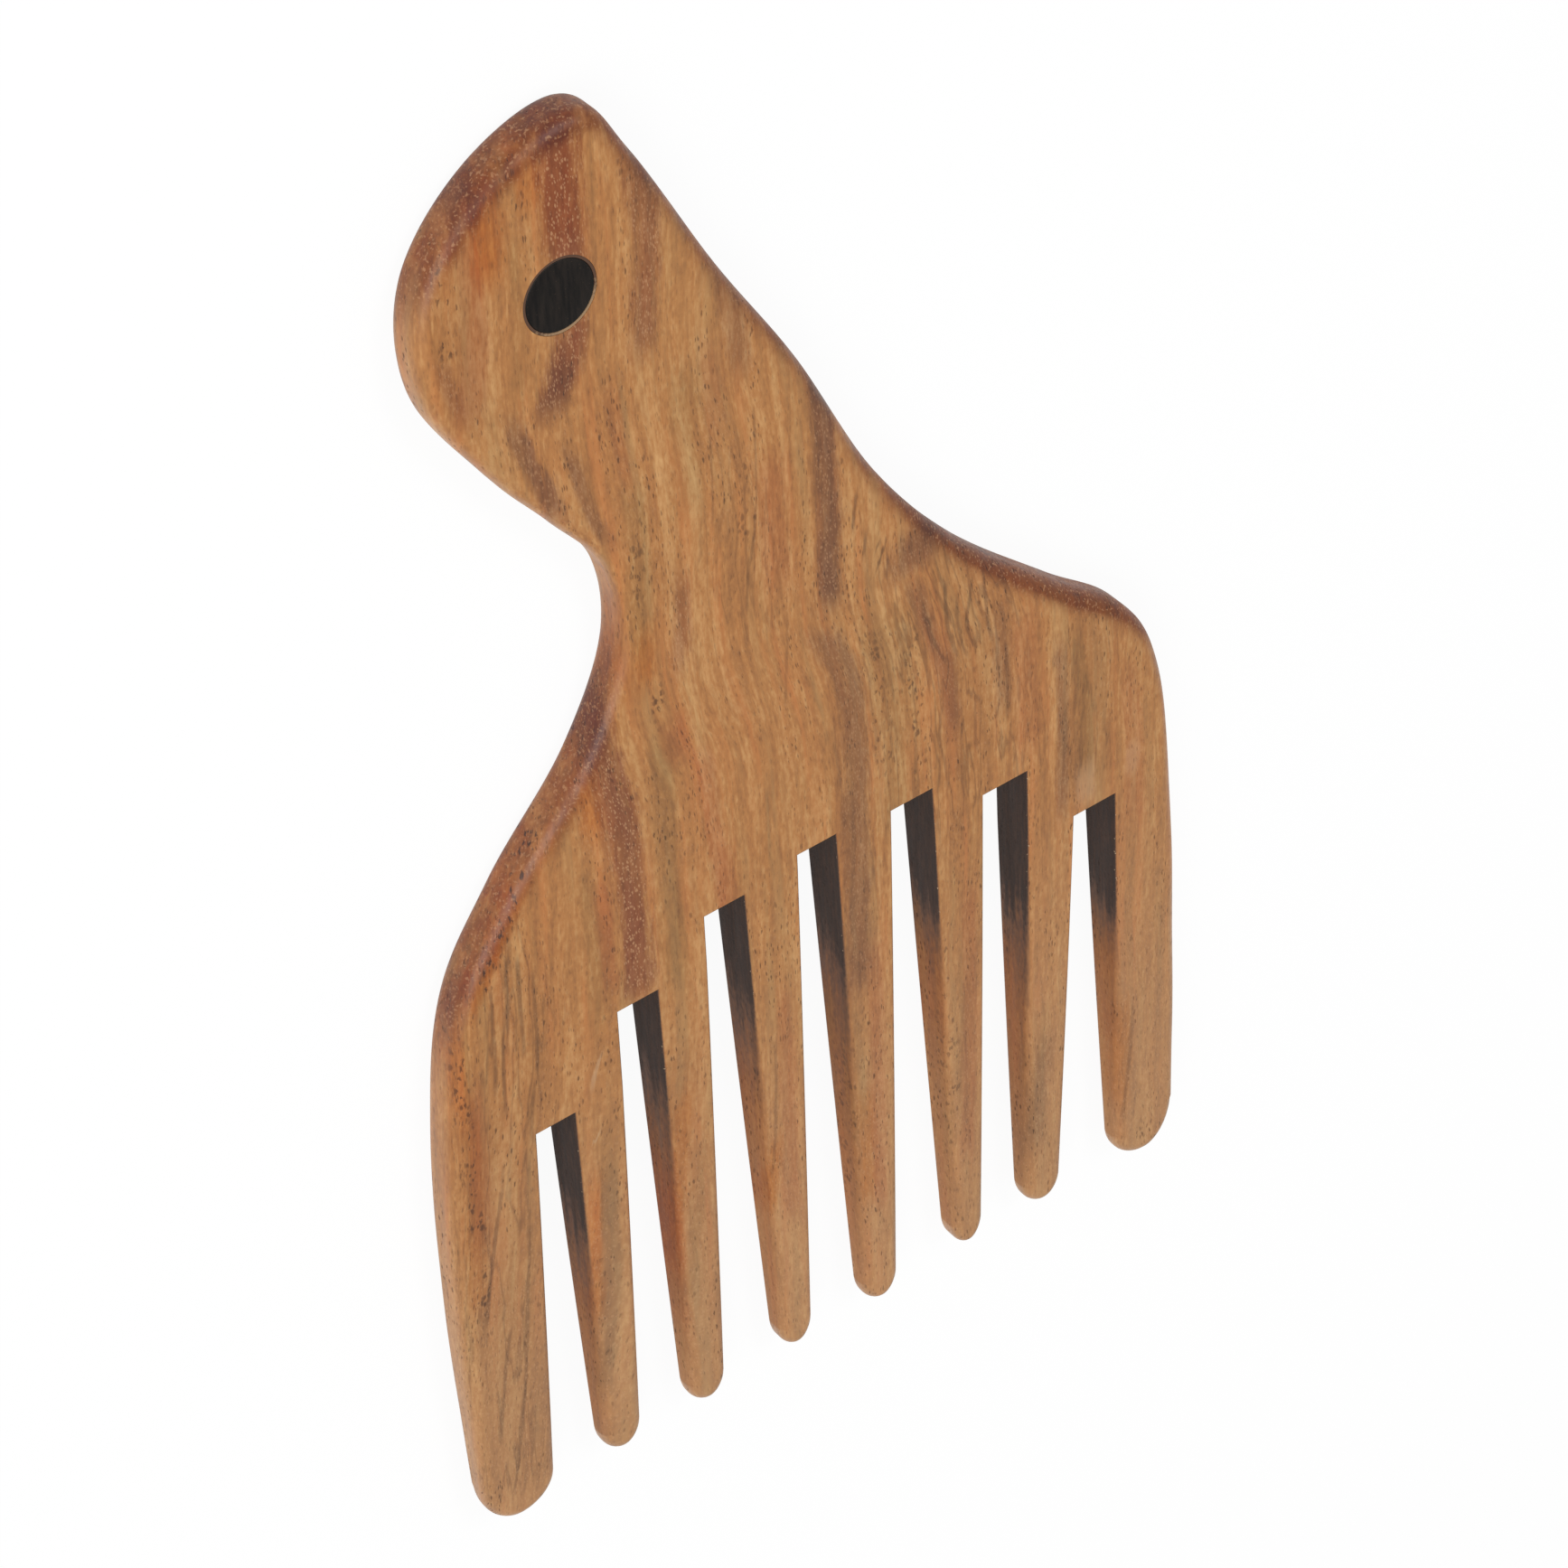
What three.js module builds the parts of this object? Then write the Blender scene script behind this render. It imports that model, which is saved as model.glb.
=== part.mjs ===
// A wooden hair comb: one plank shaped into head, neck, shoulders and teeth, with a round inlay.
// Millimetres. The drawing starts at the crown of the slot roots, midway between the flanks:
// X runs across the teeth, Y towards the head and Z out of the front face.
import * as THREE from 'three';

const { lerp, clamp } = THREE.MathUtils;

// Plank
const plankThickness = 5;
const edgeRadius = 1.8; // sanded round-over of head, neck, shoulders and flanks
const roundingLimit = 0.9; // most of a half thickness, or of a tight curve, that a rounding takes

// Slots between the teeth
const slotPitch = 11;
const slotWidth = 4.8; // at the root
const slotMouth = 6.4; // at the tips
// Sawn and filed by eye, each slot strays a little from the even pitch, width and row of roots
const slotStray = [
  { root: 0.5, mouth: 0.2, rootWidth: -0.4, mouthWidth: -0.3, rise: 0 },
  { root: -0.2, mouth: -0.1, rootWidth: -0.2, mouthWidth: -0.3, rise: -0.3 },
  { root: -0.7, mouth: 0, rootWidth: -0.2, mouthWidth: 0.7, rise: 0.5 },
  { root: -0.7, mouth: -0.1, rootWidth: -0.3, mouthWidth: 0.4, rise: 0 },
  { root: -0.3, mouth: 0.4, rootWidth: 0.1, mouthWidth: 1, rise: 0.2 },
  { root: 0.1, mouth: -0.3, rootWidth: 0.6, mouthWidth: -0.6, rise: 0.1 },
  { root: 0.3, mouth: 0.2, rootWidth: 0.4, mouthWidth: 1.2, rise: 0 },
];
const rootDrop = 15.6; // from the crown down to the outermost roots
const rootLean = 1.1; // the row of roots climbs this much from its middle to its right end
const sawnEdge = 0.25; // rounding of the edges at the roots, almost square

// Teeth
const toothLength = 67.4; // from the crown to the tips
const tipStray = [0.3, -0.6, -0.3, -0.8, 0, -0.8, -0.2, 1.2]; // how much longer each tooth came out
const outerTooth = 9.6; // width of the two outer teeth at their roots
const tipThickness = 3.1;
const tipEdge = 1.4; // rounding of the edges at the tips
const edgeGrowth = 1.5; // power by which that rounding sets in down the tooth
const tipRound = 3.2; // length of an inner tooth's rounded end
const outerTipRound = 4; // and of an outer one's, on its slot side
const cornerRound = 6; // and on its flank side

// Inlay in the head
const plugDiameter = 7;
const plugPlace = { x: -23.9, y: 75 };
const plugChamfer = 0.15;
const glueLine = 0.3; // between the plug and its hole

// Outline: flanks as insets from the flank line at toe, belly and hip, shoulders as
// [inset from the flank line, height], neck and head as [x, height]
const leftFlank = { toe: 0.6, belly: 0.1, hip: 0.8 };
const leftShoulder = [[3.5, 1.5], [10, 12.5], [19.5, 23.5]];
const neckAndHead = [
  [-20.5, 34], [-21, 43.5], [-26, 51], [-31.5, 58.5], [-37.5, 69.5], [-37, 80.5],
  [-29.5, 89], [-20, 91.5], [-15, 85], [-7, 69.5], [1, 55.5], [9, 39],
];
const rightShoulder = [[26.5, 26], [15, 15], [7, 8], [3, 0]];
const rightFlank = { toe: 0.2, belly: 0.3, hip: 1.2 };

// Facets
const stepsPerSpan = 6; // between two points of the outline
const stepsAboveTaper = 3; // down a slot wall beside the full thickness
const stepsPerWall = 7; // and beside the taper
const stepsPerTip = 14; // round the end of a tooth
const stepsPerEdge = 4; // over a rounded edge
const stepsPerHole = 48;
const sameHeight = 1e-6; // heights that differ by less are one

const slotCount = slotStray.length;
const rowSpan = (slotPitch * (slotCount - 1)) / 2; // from the middle of the row to its last slot
const flankX = rowSpan + slotWidth / 2 + outerTooth;
const tipY = -toothLength;

// The roots lie on an arc through the crown and the two outermost roots, leaning a little.
function rootHeight(x) {
  const arc = (rowSpan ** 2 + rootDrop ** 2) / (2 * rootDrop);
  return Math.sqrt(arc ** 2 - x ** 2) - arc + (rootLean * x) / rowSpan;
}

const slots = slotStray.map((stray, i) => {
  const even = i * slotPitch - rowSpan;
  return {
    rootX: even + stray.root,
    mouthX: even + stray.mouth,
    rootY: rootHeight(even) + stray.rise,
    rootWidth: slotWidth + stray.rootWidth,
    mouthWidth: slotMouth + stray.mouthWidth,
  };
});

function wallX(slot, side, y) {
  const share = (slot.rootY - y) / (slot.rootY - tipY);
  const centre = lerp(slot.rootX, slot.mouthX, share);
  return centre + (side * lerp(slot.rootWidth, slot.mouthWidth, share)) / 2;
}

// A tooth stands between two slots, or between a slot and a flank. It keeps the plank's
// thickness down to the lower of its roots and tapers from there.
function toothBetween(leftSlot, rightSlot, stray) {
  const slotSide = leftSlot && rightSlot ? tipRound : outerTipRound;
  const leftRound = leftSlot ? slotSide : cornerRound;
  const rightRound = rightSlot ? slotSide : cornerRound;
  const endY = tipY - stray;
  const left = leftSlot ? wallX(leftSlot, 1, endY + leftRound) : leftFlank.toe - flankX;
  const right = rightSlot ? wallX(rightSlot, -1, endY + rightRound) : flankX - rightFlank.toe;
  const halfWidth = (right - left) / 2;
  const tightest = (round) => Math.min(halfWidth ** 2 / round, round ** 2 / halfWidth);
  const roots = [leftSlot, rightSlot].filter(Boolean).map((slot) => slot.rootY);
  return {
    leftSlot,
    rightSlot,
    leftRound,
    rightRound,
    endY,
    halfWidth,
    centre: (left + right) / 2,
    taperY: Math.min(...roots),
    tipEdge: Math.min(tipEdge, tightest(leftRound) * roundingLimit, tightest(rightRound) * roundingLimit),
  };
}

const teeth = tipStray.map((stray, i) => toothBetween(slots[i - 1], slots[i], stray));

function halfThickness(tooth, y) {
  if (!tooth) return plankThickness / 2;
  const share = clamp((tooth.taperY - y) / (tooth.taperY - tipY), 0, 1);
  return lerp(plankThickness, tipThickness, share) / 2;
}

// Equal steps from one height towards another, without the last.
function stepsBetween(from, to, count) {
  return from === to ? [] : Array.from({ length: count }, (_, i) => lerp(from, to, i / count));
}

// One wall of a slot, from its root down to where the tooth's rounded end begins.
function slotWall(slot, side, tooth) {
  const domeY = tooth.endY + (side > 0 ? tooth.leftRound : tooth.rightRound);
  const heights = [
    ...stepsBetween(slot.rootY, tooth.taperY, stepsAboveTaper),
    ...stepsBetween(tooth.taperY, domeY, stepsPerWall),
    domeY,
  ];
  return heights.map((y) => {
    const share = (slot.rootY - y) / (slot.rootY - domeY);
    const radius = lerp(sawnEdge, tooth.tipEdge, share ** edgeGrowth);
    return { x: wallX(slot, side, y), y, tooth, radius };
  });
}

function toothTip(tooth) {
  return Array.from({ length: stepsPerTip - 1 }, (_, i) => {
    const angle = Math.PI * (1 + (i + 1) / stepsPerTip);
    const round = Math.cos(angle) < 0 ? tooth.leftRound : tooth.rightRound;
    const x = tooth.centre + tooth.halfWidth * Math.cos(angle);
    const y = tooth.endY + round * (1 + Math.sin(angle));
    return { x, y, tooth, radius: tooth.tipEdge };
  });
}

// All teeth and slots from the left toe to the right toe.
function toothRow() {
  return teeth.flatMap((tooth) => [
    ...(tooth.leftSlot ? slotWall(tooth.leftSlot, 1, tooth) : []),
    ...toothTip(tooth),
    ...(tooth.rightSlot ? slotWall(tooth.rightSlot, -1, tooth).reverse() : []),
  ]);
}

// From the right toe up the flank, round the head and down to the left toe.
function bodyOutline() {
  const [leftTooth, rightTooth] = [teeth[0], teeth.at(-1)];
  const flank = (side, insets, { endY, taperY }) => {
    const toeY = endY + cornerRound;
    return [
      [side * (flankX - insets.toe), toeY],
      [side * (flankX - insets.belly), (toeY + taperY) / 2],
      [side * (flankX - insets.hip), taperY],
    ];
  };
  const places = [
    ...flank(-1, leftFlank, leftTooth),
    ...leftShoulder.map(([inset, y]) => [inset - flankX, y]),
    ...neckAndHead,
    ...rightShoulder.map(([inset, y]) => [flankX - inset, y]),
    ...flank(1, rightFlank, rightTooth).reverse(),
  ];
  const curve = new THREE.SplineCurve(places.reverse().map(([x, y]) => new THREE.Vector2(x, y)));
  return curve.getPoints(stepsPerSpan * (places.length - 1)).map(({ x, y }) => {
    const outer = x < 0 ? leftTooth : rightTooth;
    const tooth = y <= outer.taperY + sameHeight ? outer : null;
    const radius = (edgeRadius * halfThickness(tooth, y)) / halfThickness(null, y);
    return { x, y, tooth, radius };
  });
}

// The whole edge of the comb, anticlockwise from the head, with the mitred outward direction.
function combEdge() {
  const body = bodyOutline();
  const head = Math.floor(body.length / 2);
  const points = [...body.slice(head), ...toothRow(), ...body.slice(0, head)];
  const sideNormal = (a, b) => new THREE.Vector2(b.y - a.y, a.x - b.x).normalize();
  return points.map((point, i) => {
    const before = sideNormal(points.at(i - 1), point);
    const after = sideNormal(point, points[(i + 1) % points.length]);
    const mitre = before.clone().add(after).normalize();
    return { ...point, out: mitre.divideScalar(mitre.dot(before)) };
  });
}

// Section through a rounded edge, from the front face over the edge to the back face, as the
// share of the radius that lies inside the outline, the share lost in height, and the side.
function edgeSection() {
  const quarter = Array.from({ length: stepsPerEdge + 1 }, (_, i) => {
    const angle = ((i / stepsPerEdge) * Math.PI) / 2;
    return { inset: 1 - Math.sin(angle), drop: 1 - Math.cos(angle), side: 1 };
  });
  return [...quarter, ...quarter.map((step) => ({ ...step, side: -1 })).reverse()];
}

// The rim of the plug's hole, anticlockwise.
function holeRim() {
  const radius = plugDiameter / 2 + glueLine;
  return Array.from({ length: stepsPerHole }, (_, i) => {
    const angle = (i / stepsPerHole) * 2 * Math.PI;
    return { x: plugPlace.x + radius * Math.cos(angle), y: plugPlace.y + radius * Math.sin(angle) };
  });
}

// Triangles of a closed band between two rings of points that run anticlockwise.
function band(upper, lower, count) {
  return Array.from({ length: count }, (_, i) => {
    const next = (i + 1) % count;
    return [upper + i, lower + i, lower + next, upper + i, lower + next, upper + next];
  }).flat();
}

// Triangles that fill a flat field, given the numbers of the points on its rim and its hole.
function field(positions, rim, hole, facesBack) {
  const place = (id) => new THREE.Vector2(positions[3 * id], positions[3 * id + 1]);
  const ids = [...rim, ...hole];
  const holes = hole.length ? [hole.map(place)] : [];
  const faces = THREE.ShapeUtils.triangulateShape(rim.map(place), holes);
  return faces.flatMap(([a, b, c]) => (facesBack ? [ids[a], ids[c], ids[b]] : [ids[a], ids[b], ids[c]]));
}

// Rings of points run round the comb from the front face over the edge to the back face, with
// bands between them. The faces are filled in fields: head with shoulders, and each tooth's taper.
function bodyGeometry() {
  const edge = combEdge();
  const section = edgeSection();
  const positions = section.flatMap(({ inset, drop, side }) => edge.flatMap((point) => {
    const radius = Math.min(point.radius, halfThickness(point.tooth, point.y) * roundingLimit);
    const x = point.x - point.out.x * radius * inset;
    const y = point.y - point.out.y * radius * inset;
    return [x, y, side * (halfThickness(point.tooth, y) - radius * drop)];
  }));
  const rings = section.map((_, level) => level * edge.length);
  const triangles = rings.slice(1).flatMap((ring, level) => band(rings[level], ring, edge.length));

  const frontRim = section.length * edge.length;
  const backRim = frontRim + stepsPerHole;
  [1, -1].forEach((side) => {
    holeRim().forEach(({ x, y }) => positions.push(x, y, (side * plankThickness) / 2));
  });
  triangles.push(...band(backRim, frontRim, stepsPerHole));

  const points = edge.map((_, i) => i);
  const rimPoints = holeRim().map((_, i) => i);
  const inBody = ({ tooth, y }) => !tooth || y > tooth.taperY - sameHeight;
  const inTaper = ({ tooth, y }) => y < tooth.taperY + sameHeight;
  [[rings[0], frontRim, false], [rings.at(-1), backRim, true]].forEach(([ring, rim, facesBack]) => {
    const onRing = (test) => points.filter((i) => test(edge[i])).map((i) => ring + i);
    const hole = rimPoints.map((i) => rim + i);
    triangles.push(...field(positions, onRing(inBody), hole, facesBack));
    teeth.forEach((tooth) => {
      const rimOfTooth = onRing((point) => point.tooth === tooth && inTaper(point));
      triangles.push(...field(positions, rimOfTooth, [], facesBack));
    });
  });

  const geometry = new THREE.BufferGeometry();
  geometry.setAttribute('position', new THREE.Float32BufferAttribute(positions, 3));
  geometry.setIndex(triangles);
  geometry.computeVertexNormals();
  return geometry;
}

// A dowel right through the head, flush with both faces.
function plugGeometry() {
  const radius = plugDiameter / 2;
  const half = plankThickness / 2;
  const profile = [
    [0, -half],
    [radius - plugChamfer, -half],
    [radius, plugChamfer - half],
    [radius, half - plugChamfer],
    [radius - plugChamfer, half],
    [0, half],
  ].map(([x, y]) => new THREE.Vector2(x, y));
  const dowel = new THREE.LatheGeometry(profile, stepsPerHole).rotateX(Math.PI / 2);
  return dowel.translate(plugPlace.x, plugPlace.y, 0);
}

function combPiece(name, geometry, color, roughness) {
  const material = new THREE.MeshStandardMaterial({ color, roughness, metalness: 0 });
  const piece = new THREE.Mesh(geometry, material);
  piece.name = name;
  return piece;
}

const comb = new THREE.Group();
comb.add(combPiece('comb_body', bodyGeometry(), 0xb07c4c, 0.5));
comb.add(combPiece('inlay_plug', plugGeometry(), 0x24201e, 0.4));

// The comb lies on its back face, centred over the origin.
const extent = new THREE.Box3().setFromObject(comb);
const middle = extent.getCenter(new THREE.Vector3());
comb.position.set(-middle.x, -middle.y, -extent.min.z);

export default comb;
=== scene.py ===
import math

import bpy
from mathutils import Matrix, Vector, noise
from mathutils.geometry import tessellate_polygon


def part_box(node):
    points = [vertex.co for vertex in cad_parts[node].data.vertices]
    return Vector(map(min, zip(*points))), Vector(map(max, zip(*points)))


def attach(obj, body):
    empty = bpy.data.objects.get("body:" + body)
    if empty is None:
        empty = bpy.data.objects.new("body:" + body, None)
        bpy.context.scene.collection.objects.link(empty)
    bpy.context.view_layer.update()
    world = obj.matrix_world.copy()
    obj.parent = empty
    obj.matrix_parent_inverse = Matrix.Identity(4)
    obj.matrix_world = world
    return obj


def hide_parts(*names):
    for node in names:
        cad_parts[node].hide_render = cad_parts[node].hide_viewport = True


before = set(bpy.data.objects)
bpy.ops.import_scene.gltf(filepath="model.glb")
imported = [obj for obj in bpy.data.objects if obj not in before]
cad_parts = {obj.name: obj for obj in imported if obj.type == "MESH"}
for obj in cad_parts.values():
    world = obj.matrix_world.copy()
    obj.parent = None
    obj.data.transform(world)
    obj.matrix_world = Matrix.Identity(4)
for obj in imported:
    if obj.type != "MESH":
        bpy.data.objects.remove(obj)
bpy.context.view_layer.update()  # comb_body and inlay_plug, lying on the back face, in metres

metresPerMm = 0.001
closeEnough = 1e-6  # millimetres
sharpAngle = 40  # degrees: edges bent by more stay crisp


def tone(red, green, blue):  # a colour as seen on screen, 0 to 255, made linear
    share = [value / 255 for value in (red, green, blue)]
    return [s / 12.92 if s <= 0.04045 else ((s + 0.055) / 1.055) ** 2.4 for s in share] + [1.0]


class Wire:  # one socket of a node tree, so that shader maths reads as plain sums
    def __init__(self, tree, socket=None):
        self.tree = tree
        self.socket = socket

    def node(self, kind, settings=None, sockets=None, out=0):
        made = self.tree.nodes.new("ShaderNode" + kind)
        for name, value in (settings or {}).items():
            if name == "stops":
                fillRamp(made.color_ramp, value)
            elif name == "curve":
                fillCurve(made.mapping, value)
            else:
                setattr(made, name, value)
        for name, value in (sockets or {}).items():
            if isinstance(value, Wire):
                self.tree.links.new(value.socket, made.inputs[name])
            else:
                made.inputs[name].default_value = value
        return Wire(self.tree, made.outputs[out] if made.outputs else None)

    def math(self, operation, first, second=0.0):
        return self.node("Math", {"operation": operation}, {0: first, 1: second})

    def __add__(self, other):
        return self.math("ADD", self, other)

    def __radd__(self, other):
        return self.math("ADD", other, self)

    def __sub__(self, other):
        return self.math("SUBTRACT", self, other)

    def __rsub__(self, other):
        return self.math("SUBTRACT", other, self)

    def __mul__(self, other):
        return self.math("MULTIPLY", self, other)

    def __rmul__(self, other):
        return self.math("MULTIPLY", other, self)

    def __truediv__(self, other):
        return self.math("DIVIDE", self, other)

    def __rtruediv__(self, other):
        return self.math("DIVIDE", other, self)

    def __abs__(self):
        return self.math("ABSOLUTE", self)

    def most(self, other):
        return self.math("MAXIMUM", self, other)

    def lift(self, least):  # 0 to 1 becomes the least to 1
        return self * (1 - least) + least

    def step(self, low, high, most=1.0):  # 0 at low, the most at high, smooth between
        ends = {"Value": self, "From Min": low, "From Max": high, "To Max": most}
        return self.node("MapRange", {"interpolation_type": "SMOOTHSTEP", "clamp": False}, ends)

    def tint(self, colour, amount, blend="MIX"):
        kind = {"data_type": "RGBA", "blend_type": blend}
        return self.node("Mix", kind, {0: amount, 6: self, 7: colour}, out=2)


def fillRamp(ramp, stops):
    while len(ramp.elements) < len(stops):
        ramp.elements.new(0.5)
    for element, (place, colour) in zip(ramp.elements, stops):
        element.position = place
        element.color = colour


def fillCurve(mapping, points):
    curve = mapping.curves[0]
    while len(curve.points) < len(points):
        curve.points.new(0.5, 0.5)
    for point, place in zip(curve.points, points):
        point.location = place
    mapping.update()


def newMaterial(name):
    material = bpy.data.materials.new(name)
    material.use_nodes = True
    material.node_tree.nodes.clear()
    return material, Wire(material.node_tree)


# Comb body: the same plank as in the frame, with finer steps and the small unevenness of handwork
combShape = {  # millimetres, drawn from the crown of the slot roots, midway between the flanks
    "thickness": 5,
    "edgeRadius": 1.8,
    "roundingLimit": 0.9,
    "slotPitch": 11,
    "slotWidth": 4.8,
    "slotMouth": 6.4,
    "slotStray": [  # centre at the root and the mouth, width at the root and the mouth, rise of the root
        (0.5, 0.2, -0.4, -0.3, 0), (-0.2, -0.1, -0.2, -0.3, -0.3), (-0.7, 0, -0.2, 0.7, 0.5),
        (-0.7, -0.1, -0.3, 0.4, 0), (-0.3, 0.4, 0.1, 1, 0.2), (0.1, -0.3, 0.6, -0.6, 0.1),
        (0.3, 0.2, 0.4, 1.2, 0),
    ],
    "rootDrop": 15.6,
    "rootLean": 1.1,
    "sawnEdge": 0.25,
    "toothLength": 67.4,
    "tipStray": [0.3, -0.6, -0.3, -0.8, 0, -0.8, -0.2, 1.2],
    "outerTooth": 9.6,
    "tipThickness": 3.1,
    "tipEdge": 1.4,
    "edgeGrowth": 1.5,
    "tipRound": 3.2,
    "outerTipRound": 4,
    "cornerRound": 6,
    "plugDiameter": 7,
    "plugPlace": (-23.9, 75),
    "glueLine": 0.3,
    "leftFlank": (0.6, 0.1, 0.8),  # insets at toe, belly and hip
    "leftShoulder": [(3.5, 1.5), (10, 12.5), (19.5, 23.5)],  # inset, height
    "neckAndHead": [
        (-20.5, 34), (-21, 43.5), (-26, 51), (-31.5, 58.5), (-37.5, 69.5), (-37, 80.5),
        (-29.5, 89), (-20, 91.5), (-15, 85), (-7, 69.5), (1, 55.5), (9, 39),
    ],
    "rightShoulder": [(26.5, 26), (15, 15), (7, 8), (3, 0)],
    "rightFlank": (0.2, 0.3, 1.2),
    "handwork": 0.12,  # share by which the round-over swells and thins along the edge
    "handworkScale": 0.09,  # swells per millimetre
    "handworkSeed": 4.0,
    "land": 0.08,  # flat strip kept beside the rounded edges of the teeth
    "bodyLand": 1.2,  # and beside the body's, where the dark of the end grain fades out
    "endGrainLeast": 0.3,  # how dark the end grain starts where the rounded edge begins
    "burn": [  # how far down each slot its walls are black, and how far brown
        (13, 34), (11, 32), (12, 32), (13, 38), (15, 28), (17, 36), (15, 26),
    ],
}
combSteps = {"span": 18, "aboveTaper": 6, "wall": 26, "tip": 36, "edge": 8, "hole": 96}
shape = combShape
slotCount = len(shape["slotStray"])
rowSpan = shape["slotPitch"] * (slotCount - 1) / 2
flankX = rowSpan + shape["slotWidth"] / 2 + shape["outerTooth"]
tipY = -shape["toothLength"]
rootArc = (rowSpan ** 2 + shape["rootDrop"] ** 2) / (2 * shape["rootDrop"])


def blend(start, end, share):
    return start + (end - start) * share


def rootHeight(x):
    return math.sqrt(rootArc ** 2 - x ** 2) - rootArc + shape["rootLean"] * x / rowSpan


def sawnSlot(index):
    even = index * shape["slotPitch"] - rowSpan
    rootStray, mouthStray, rootWider, mouthWider, rise = shape["slotStray"][index]
    return {
        "rootX": even + rootStray,
        "mouthX": even + mouthStray,
        "rootY": rootHeight(even) + rise,
        "rootWidth": shape["slotWidth"] + rootWider,
        "mouthWidth": shape["slotMouth"] + mouthWider,
        "burn": shape["burn"][index],
    }


def wallX(slot, side, y):
    share = (slot["rootY"] - y) / (slot["rootY"] - tipY)
    width = blend(slot["rootWidth"], slot["mouthWidth"], share)
    return blend(slot["rootX"], slot["mouthX"], share) + side * width / 2


def toothBetween(leftSlot, rightSlot, stray):
    slotRound = shape["tipRound"] if leftSlot and rightSlot else shape["outerTipRound"]
    leftRound = slotRound if leftSlot else shape["cornerRound"]
    rightRound = slotRound if rightSlot else shape["cornerRound"]
    endY = tipY - stray
    left = wallX(leftSlot, 1, endY + leftRound) if leftSlot else shape["leftFlank"][0] - flankX
    right = wallX(rightSlot, -1, endY + rightRound) if rightSlot else flankX - shape["rightFlank"][0]
    half = (right - left) / 2
    tightest = min(min(half ** 2 / way, way ** 2 / half) for way in (leftRound, rightRound))
    return {
        "leftSlot": leftSlot,
        "rightSlot": rightSlot,
        "leftRound": leftRound,
        "rightRound": rightRound,
        "endY": endY,
        "half": half,
        "centre": (left + right) / 2,
        "taperY": min(slot["rootY"] for slot in (leftSlot, rightSlot) if slot),
        "tipEdge": min(shape["tipEdge"], tightest * shape["roundingLimit"]),
    }


slots = [sawnSlot(index) for index in range(slotCount)]
teeth = [toothBetween(*sides) for sides in zip([None] + slots, slots + [None], shape["tipStray"])]


def halfThickness(tooth, y):
    if not tooth:
        return shape["thickness"] / 2
    share = (tooth["taperY"] - y) / (tooth["taperY"] - tipY)
    return blend(shape["thickness"], shape["tipThickness"], min(max(share, 0), 1)) / 2


def edgePoint(x, y, tooth, radius, slot=None):
    return {"x": x, "y": y, "tooth": tooth, "radius": radius, "slot": slot}


def slotWall(slot, side, tooth):
    upper, lower = combSteps["aboveTaper"], combSteps["wall"]
    domeY = tooth["endY"] + tooth["leftRound" if side > 0 else "rightRound"]
    heights = []
    if slot["rootY"] > tooth["taperY"]:
        heights += [blend(slot["rootY"], tooth["taperY"], i / upper) for i in range(upper)]
    heights += [blend(tooth["taperY"], domeY, i / lower) for i in range(lower + 1)]
    wall = []
    for y in heights:
        share = (slot["rootY"] - y) / (slot["rootY"] - domeY)
        radius = blend(shape["sawnEdge"], tooth["tipEdge"], share ** shape["edgeGrowth"])
        wall.append(edgePoint(wallX(slot, side, y), y, tooth, radius, slot))
    return wall


def toothTip(tooth):
    tip = []
    for i in range(1, combSteps["tip"]):
        angle = math.pi * (1 + i / combSteps["tip"])
        rounded = tooth["leftRound" if math.cos(angle) < 0 else "rightRound"]
        x = tooth["centre"] + tooth["half"] * math.cos(angle)
        y = tooth["endY"] + rounded * (1 + math.sin(angle))
        tip.append(edgePoint(x, y, tooth, tooth["tipEdge"]))
    return tip


def toothRow():
    row = []
    for tooth in teeth:
        if tooth["leftSlot"]:
            row += slotWall(tooth["leftSlot"], 1, tooth)
        row += toothTip(tooth)
        if tooth["rightSlot"]:
            row += reversed(slotWall(tooth["rightSlot"], -1, tooth))
    return row


def smoothCurve(places, steps):  # a curve through all the places
    last = len(places) - 1
    for i in range(last):
        before, start, end, after = (Vector(places[min(max(k, 0), last)]) for k in range(i - 1, i + 3))
        leave, arrive = (end - before) / 2, (after - start) / 2
        for k in range(steps):
            t = k / steps
            bend = (2 * start - 2 * end + leave + arrive) * t ** 3
            yield bend + (3 * end - 3 * start - 2 * leave - arrive) * t ** 2 + leave * t + start
    yield Vector(places[-1])


def flankPlaces(side, insets, tooth):
    toeY = tooth["endY"] + shape["cornerRound"]
    heights = (toeY, (toeY + tooth["taperY"]) / 2, tooth["taperY"])
    return [(side * (flankX - inset), y) for inset, y in zip(insets, heights)]


def bodyOutline():  # right toe, right flank, head, left flank, left toe
    places = flankPlaces(-1, shape["leftFlank"], teeth[0])
    places += [(inset - flankX, y) for inset, y in shape["leftShoulder"]]
    places += shape["neckAndHead"]
    places += [(flankX - inset, y) for inset, y in shape["rightShoulder"]]
    places += reversed(flankPlaces(1, shape["rightFlank"], teeth[-1]))
    outline = []
    for x, y in smoothCurve(places[::-1], combSteps["span"]):
        outer = teeth[0] if x < 0 else teeth[-1]
        tooth = outer if y < outer["taperY"] + closeEnough else None
        scale = shape["handworkScale"]
        uneven = noise.noise((x * scale, y * scale, shape["handworkSeed"]))
        swell = 1 + shape["handwork"] * uneven
        radius = shape["edgeRadius"] * swell * halfThickness(tooth, y) / halfThickness(None, y)
        outline.append(edgePoint(x, y, tooth, radius))
    return outline


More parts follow.
